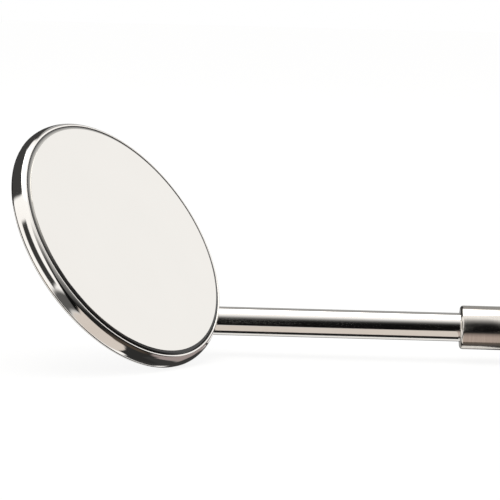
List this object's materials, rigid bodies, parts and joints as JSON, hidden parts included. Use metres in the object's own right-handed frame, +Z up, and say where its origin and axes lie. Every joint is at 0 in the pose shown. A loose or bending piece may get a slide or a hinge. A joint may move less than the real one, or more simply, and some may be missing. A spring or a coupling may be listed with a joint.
{
  "type": "mouth mirror",
  "caption": "Dental mouth mirror: round glass mirror in a steel rim set at 45 degrees on a thin stem, whose hub screws into a slim hollow handle with a knurled grip.",
  "frame": {"origin": "on the table, under the middle of the whole instrument as it lies on its handle and the edge of its head", "axes": "+X along the handle from the head to the tail, +Z up from the table, the mirror faces up, towards the handle and towards -Y"},
  "size_m": [0.1662, 0.0218, 0.0205],
  "materials": {
    "mirror_coating": "front-surface mirror coating, flat and clean",
    "glass": "polished, ground bevel, dark over the black bed",
    "sealant": "black silicone bead",
    "cushion": "black bonded disc",
    "polished_steel": "stainless steel, mirror polished",
    "satin_steel": "stainless steel, turned and satin finished",
    "solder": "silver solder, smooth",
    "knurled_steel": "stainless steel tube, satin with a diamond knurled grip"
  },
  "bodies": {
    "handle": {"handle_tube": "knurled_steel", "socket_nose": "satin_steel", "end_plug": "satin_steel"},
    "hub": {"threaded_hub": "satin_steel"},
    "head": {"stem": "polished_steel", "braze_fillet": "solder", "back_cup": "polished_steel", "bezel_ring": "polished_steel", "cushion_disc": "cushion", "mirror_glass": "glass", "edge_seal": "sealant", "reflective_coating": "mirror_coating"}
  },
  "joints": [
    {"name": "unscrew_travel", "type": "slide", "parent": "handle", "child": "hub", "axis": [-1, 0, 0], "range_m": [0, 0.0036]},
    {"name": "unscrew_turn", "type": "hinge", "parent": "hub", "child": "head", "pos_m": [-0.04387, 0.0059, 0.003], "axis": [-1, 0, 0], "range_deg": [0, 2880]}
  ],
  "couplings": [
    {"joint": "unscrew_travel", "follows": "unscrew_turn", "m_per_rad": 0.000071619}
  ]
}
